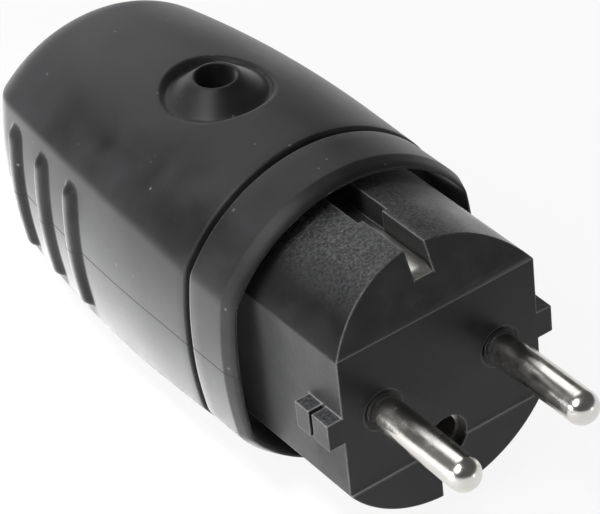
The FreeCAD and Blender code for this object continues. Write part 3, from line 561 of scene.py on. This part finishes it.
# %% [markdown]
# ### Grain of the rubber
# The blasted mould leaves a fine grain. Real bumps would need millions of faces, so a Bump node tilts the
# normal. The cloudy pattern drives the roughness too, so that the bloom is duller than the bare skin.

# %% Grain of the rubber
satin = add_node(tree, "ShaderNodeMapRange", {"From Min": 0.3, "From Max": 0.7, "To Min": 0.4, "To Max": 0.58},
                 {"Value": cloud.outputs["Fac"]})
tree.links.new(satin.outputs["Result"], surface.inputs["Roughness"])
# The grain is about 0.1 mm on the real hood and is drawn at 0.3 mm so that it shows
grain = add_node(tree, "ShaderNodeTexNoise", {"Scale": per_mm(0.3), "Detail": 3}, {"Vector": place})
relief = add_node(tree, "ShaderNodeBump", {"Strength": 0.5, "Distance": 0.02 * MM},
                  {"Height": grain.outputs["Fac"]})
tree.links.new(relief.outputs["Normal"], surface.inputs["Normal"])
wear(rubber, hood)
print(rubber.name, len(tree.nodes), "nodes with its grain")

# %% [markdown]
# ### Colour of the hard plastic
# The insert is a black thermoset with a mineral filler. It is deep black and a little dull, with faint flow
# marks, so its specular level is low. The faces that look up are scuffed and carry a painted sheen. Scratches
# could be cut as grooves, but fine noise that greys the colour where the normal points upwards is enough for
# both at this size.

# %% Colour of the hard plastic
plastic, tree, surface, place = new_material("filled_thermoset", {"IOR": 1.55, "Specular IOR Level": 0.2,
                                                                 "Sheen Weight": 0.5, "Sheen Roughness": 0.34})
flow = add_node(tree, "ShaderNodeTexNoise", {"Scale": per_mm(3.5), "Detail": 5, "Roughness": 0.6},
                {"Vector": place})
tone = add_node(tree, "ShaderNodeMix", {"data_type": "RGBA", 6: linear("#0a0a0b"), 7: linear("#161617")},
                {0: flow.outputs["Fac"]})
facing = add_node(tree, "ShaderNodeNewGeometry")
upward = add_node(tree, "ShaderNodeSeparateXYZ", links={"Vector": facing.outputs["Normal"]})
# Painted sheen and scuffs: the colour goes pale grey where the normal points up, broken by fine noise
top_sheen_and_scuff_share = add_node(tree, "ShaderNodeMapRange", {"From Min": 0.75, "From Max": 0.95, "To Max": 0.4},
                      {"Value": upward.outputs["Z"]})
# Scuffs are about 0.1 mm fine and are drawn at 0.4 mm so that they show
scratches = add_node(tree, "ShaderNodeTexNoise", {"Scale": per_mm(0.4), "Detail": 4, "Roughness": 0.7},
                     {"Vector": place})
scuff_share = add_node(tree, "ShaderNodeMapRange", {"From Min": 0.4, "From Max": 0.65},
                       {"Value": scratches.outputs["Fac"]})
scuffs_and_painted_sheen = add_node(tree, "ShaderNodeMath", {"operation": "MULTIPLY"},
                  {0: top_sheen_and_scuff_share.outputs["Result"], 1: scuff_share.outputs["Result"]})
scuffed_and_sheened = add_node(tree, "ShaderNodeMix", {"data_type": "RGBA", 7: linear("#77787a")},
                   {0: scuffs_and_painted_sheen.outputs[0], 6: tone.outputs[2]})
print(plastic.name, len(tree.nodes), "nodes for its colour")

# %% [markdown]
# ### Rubbed edges, painted edge highlights and skin of the plastic
# The edges of the insert are rubbed, and they are painted pale as highlights. They could be painted by hand, but a
# Bevel node finds them: near an edge its soft normal leaves the true normal of the face. The skin is smoother than
# rubber, with a mottled gloss.

# %% Rubbed edges, painted edge highlights and skin of the plastic
RUBBED_AND_HIGHLIT_WIDTH = 0.3
soft_normal = add_node(tree, "ShaderNodeBevel", {"samples": 6, "Radius": RUBBED_AND_HIGHLIT_WIDTH * MM})
agreement = add_node(tree, "ShaderNodeVectorMath", {"operation": "DOT_PRODUCT"},
                     {0: soft_normal.outputs["Normal"], 1: facing.outputs["True Normal"]})
# Painted highlight and rubbing: the colour goes pale grey near every edge
rubbed_and_highlit = add_node(tree, "ShaderNodeMapRange", {"From Min": 0.99, "From Max": 0.9, "To Max": 0.95},
                  {"Value": agreement.outputs["Value"]})
with_edge_highlights = add_node(tree, "ShaderNodeMix", {"data_type": "RGBA", 7: linear("#a6a6a8")},
                 {0: rubbed_and_highlit.outputs["Result"], 6: scuffed_and_sheened.outputs[2]})
tree.links.new(with_edge_highlights.outputs[2], surface.inputs["Base Color"])
gloss = add_node(tree, "ShaderNodeMapRange", {"From Min": 0.3, "From Max": 0.7, "To Min": 0.28, "To Max": 0.46},
                 {"Value": flow.outputs["Fac"]})
tree.links.new(gloss.outputs["Result"], surface.inputs["Roughness"])
ripple = add_node(tree, "ShaderNodeTexNoise", {"Scale": per_mm(0.8), "Detail": 3}, {"Vector": place})
relief = add_node(tree, "ShaderNodeBump", {"Strength": 0.35, "Distance": 0.05 * MM},
                  {"Height": ripple.outputs["Fac"]})
tree.links.new(relief.outputs["Normal"], surface.inputs["Normal"])
wear(plastic, carrier)
print(plastic.name, len(tree.nodes), "nodes with its skin")

# %% [markdown]
# ### Nickel on brass
# The pins are turned from brass and nickel plated: a warm, bright metal with very fine rings round the pin and
# a few dull patches from handling. The rings are too fine to model, so a wave pattern along the pin bumps the
# normal.

# %% Nickel on brass
nickel, tree, surface, place = new_material("turned_nickel", {"Metallic": 1})
patches = add_node(tree, "ShaderNodeTexNoise", {"Scale": per_mm(2.5), "Detail": 4}, {"Vector": place})
colour = add_node(tree, "ShaderNodeMix", {"data_type": "RGBA", 6: linear("#c9c6c1"), 7: linear("#e3e1dd")},
                  {0: patches.outputs["Fac"]})
tree.links.new(colour.outputs[2], surface.inputs["Base Color"])
polish = add_node(tree, "ShaderNodeMapRange", {"From Min": 0.3, "From Max": 0.7, "To Min": 0.16, "To Max": 0.3},
                  {"Value": patches.outputs["Fac"]})
tree.links.new(polish.outputs["Result"], surface.inputs["Roughness"])
# Turning marks are about 0.05 mm apart and are drawn at 0.3 mm so that they show
rings = add_node(tree, "ShaderNodeTexWave", {"bands_direction": "Y", "Scale": per_mm(0.3) / math.tau,
                                             "Distortion": 0.6, "Detail": 2}, {"Vector": place})
relief = add_node(tree, "ShaderNodeBump", {"Strength": 0.12, "Distance": 0.01 * MM},
                  {"Height": rings.outputs["Fac"]})
tree.links.new(relief.outputs["Normal"], surface.inputs["Normal"])
for name in ("pin_left", "pin_right"):
    wear(nickel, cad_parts[name])
print(nickel.name, len(tree.nodes), "nodes")

# %% [markdown]
# ### Rolled strip
# The earth strip and the earth sleeve are pressed from rolled, plated sheet, so fine lines run along it. A
# Mapping node stretches noise along the plug, which draws such lines without a UV map.

# %% Rolled strip
strip, tree, surface, place = new_material("rolled_nickel_strip", {"Metallic": 1})
stretch = add_node(tree, "ShaderNodeMapping", {"Scale": (1, 0.08, 1)}, {"Vector": place})
lines = add_node(tree, "ShaderNodeTexNoise", {"Scale": per_mm(0.25), "Detail": 3},
                 {"Vector": stretch.outputs[0]})
colour = add_node(tree, "ShaderNodeMix", {"data_type": "RGBA", 6: linear("#bdbbb6"), 7: linear("#dddbd6")},
                  {0: lines.outputs["Fac"]})
tree.links.new(colour.outputs[2], surface.inputs["Base Color"])
polish = add_node(tree, "ShaderNodeMapRange", {"To Min": 0.22, "To Max": 0.38}, {"Value": lines.outputs["Fac"]})
tree.links.new(polish.outputs["Result"], surface.inputs["Roughness"])
relief = add_node(tree, "ShaderNodeBump", {"Strength": 0.15, "Distance": 0.01 * MM},
                  {"Height": lines.outputs["Fac"]})
tree.links.new(relief.outputs["Normal"], surface.inputs["Normal"])
wear(strip, bracket)
wear(strip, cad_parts["earth_sleeve"])
print(strip.name, len(tree.nodes), "nodes")

# %% [markdown]
# ### Zinc-plated steel
# The screws and the washer are steel with a cloudy zinc plating. Their spangles are small cells that differ in
# brightness, as a Voronoi pattern's do. They sit inside the hood, and still have a finish of their own.

# %% Zinc-plated steel
zinc, tree, surface, place = new_material("zinc_plated_steel", {"Metallic": 1})
spangle = add_node(tree, "ShaderNodeTexVoronoi", {"Scale": per_mm(0.7)}, {"Vector": place})
colour = add_node(tree, "ShaderNodeMix", {"data_type": "RGBA", 6: linear("#a3a6aa"), 7: linear("#c4c7ca")},
                  {0: spangle.outputs["Distance"]})
tree.links.new(colour.outputs[2], surface.inputs["Base Color"])
polish = add_node(tree, "ShaderNodeMapRange", {"To Min": 0.28, "To Max": 0.42},
                  {"Value": spangle.outputs["Distance"]})
tree.links.new(polish.outputs["Result"], surface.inputs["Roughness"])
for name in ("pin_screw_left", "pin_screw_right", "earth_screw", "earth_washer", "cord_clamp_screw_left",
             "cord_clamp_screw_right", "hood_screw"):
    wear(zinc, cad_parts[name])
print(zinc.name, len(tree.nodes), "nodes")

# %% [markdown]
# ### Moulded polyamide
# The clamp is a small grey-black moulding of polyamide. It is hidden in the hood, so a simple flow pattern in
# its colour and roughness is enough.

# %% Moulded polyamide
clamp, tree, surface, place = new_material("moulded_polyamide", {"IOR": 1.53})
flow = add_node(tree, "ShaderNodeTexNoise", {"Scale": per_mm(2), "Detail": 4}, {"Vector": place})
tone = add_node(tree, "ShaderNodeMix", {"data_type": "RGBA", 6: linear("#1c1c1e"), 7: linear("#303032")},
                {0: flow.outputs["Fac"]})
tree.links.new(tone.outputs[2], surface.inputs["Base Color"])
matt = add_node(tree, "ShaderNodeMapRange", {"To Min": 0.4, "To Max": 0.6}, {"Value": flow.outputs["Fac"]})
tree.links.new(matt.outputs["Result"], surface.inputs["Roughness"])
wear(clamp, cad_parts["cord_clamp"])
print(clamp.name, len(tree.nodes), "nodes,", len(bpy.data.materials), "materials so far")

# %% [markdown]
# ## Studio walls
# The photograph is a cut-out on white. An even white world would make black rubber grey all over, because every
# side would mirror it. So the world has white walls and a dark ceiling: the sides mirror the walls and the crown
# the ceiling.

# %% Studio walls
world = bpy.data.worlds.new("studio")
bpy.context.scene.world = world
world.use_nodes = True
tree = world.node_tree
tree.nodes.clear()
direction = add_node(tree, "ShaderNodeTexCoord")
rise = add_node(tree, "ShaderNodeSeparateXYZ", links={"Vector": direction.outputs["Generated"]})
walls = add_node(tree, "ShaderNodeMapRange", {"From Min": 0.06, "From Max": 0.22, "To Min": 1, "To Max": 0.1},
                 {"Value": rise.outputs["Z"]})
studio = add_node(tree, "ShaderNodeBackground", {"Color": (1, 1, 1, 1)}, {"Strength": walls.outputs["Result"]})
add_node(tree, "ShaderNodeOutputWorld", links={"Surface": studio.outputs[0]})
print("world:", len(tree.nodes), "nodes")

# %% [markdown]
# ## Paper floor
# The floor is white paper. Lit by lamps alone it would be grey in the picture, and stronger lamps would burn out
# the pins. For camera, mirror and glass rays the Light Path node mixes in a white glow, and the rest of the paper
# keeps the shadow of the plug.

# %% Paper floor
FLOOR_DROP = 0.1
FLOOR_SIZE = 2
PAPER_GLOW = 0.9
floor_height = cad_low.z - FLOOR_DROP * MM
floor_mesh = bmesh.new()
bmesh.ops.create_grid(floor_mesh, x_segments=1, y_segments=1, size=FLOOR_SIZE)
bmesh.ops.translate(floor_mesh, verts=floor_mesh.verts, vec=(0, 0, floor_height))
floor = finished("floor", floor_mesh)
paper, tree, surface, place = new_material("white_paper", {"Base Color": linear("#f4f4f4"), "Roughness": 0.9})
rays = add_node(tree, "ShaderNodeLightPath")
glow = add_node(tree, "ShaderNodeEmission", {"Color": (1, 1, 1, 1), "Strength": 1})
mirrored = add_node(tree, "ShaderNodeMath", {"operation": "MAXIMUM"},
                    {0: rays.outputs["Is Glossy Ray"], 1: rays.outputs["Is Transmission Ray"]})
seen = add_node(tree, "ShaderNodeMath", {"operation": "MAXIMUM"},
                {0: rays.outputs["Is Camera Ray"], 1: mirrored.outputs[0]})
share = add_node(tree, "ShaderNodeMath", {"operation": "MULTIPLY", 1: PAPER_GLOW}, {0: seen.outputs[0]})
mix = add_node(tree, "ShaderNodeMixShader",
               links={0: share.outputs[0], 1: surface.outputs[0], 2: glow.outputs[0]})
tree.links.new(mix.outputs[0], tree.nodes["Material Output"].inputs["Surface"])
wear(paper, floor)
print("floor at", round(floor_height / MM, 1), "mm")

# %% [markdown]
# ## Lamps
# Round area lamps give soft shadows. One at the left lights the dusty cheek, a wide one behind is mirrored in the
# pins, and one above fills the shadows. A narrow lamp shines straight down on the paper at the left, because the
# cheek mirrors the paper there, and a weak one in front lifts the face.

# %% Lamps
# Places and sizes are in metres, powers in watts and spreads in degrees
MIDDLE = (0, 0.03, 0)


def soft_lamp(name, place, aim, size, power, spread=180):
    data = bpy.data.lights.new(name, "AREA")
    data.shape, data.size, data.energy, data.spread = "DISK", size, power, math.radians(spread)
    lamp = bpy.data.objects.new(name, data)
    lamp.location = place
    lamp.rotation_euler = (Vector(aim) - Vector(place)).to_track_quat("-Z", "Y").to_euler()
    bpy.context.scene.collection.objects.link(lamp)


soft_lamp("left_lamp", (-0.6, 0.2, 0.06), MIDDLE, 0.3, 1.9)
soft_lamp("rear_lamp", (0.11, 0.57, 0.41), MIDDLE, 0.6, 1.7)
soft_lamp("top_lamp", (-0.45, 0.05, 0.55), MIDDLE, 0.5, 2)
soft_lamp("floor_lamp", (-0.19, 0.06, 0.3), (-0.19, 0.06, 0), 0.2, 1.9, spread=50)
soft_lamp("front_lamp", (0.27, -0.52, 0.02), MIDDLE, 0.12, 0.1)
bpy.context.scene.view_settings.view_transform = "Standard"
print(len(bpy.data.lights), "lamps")
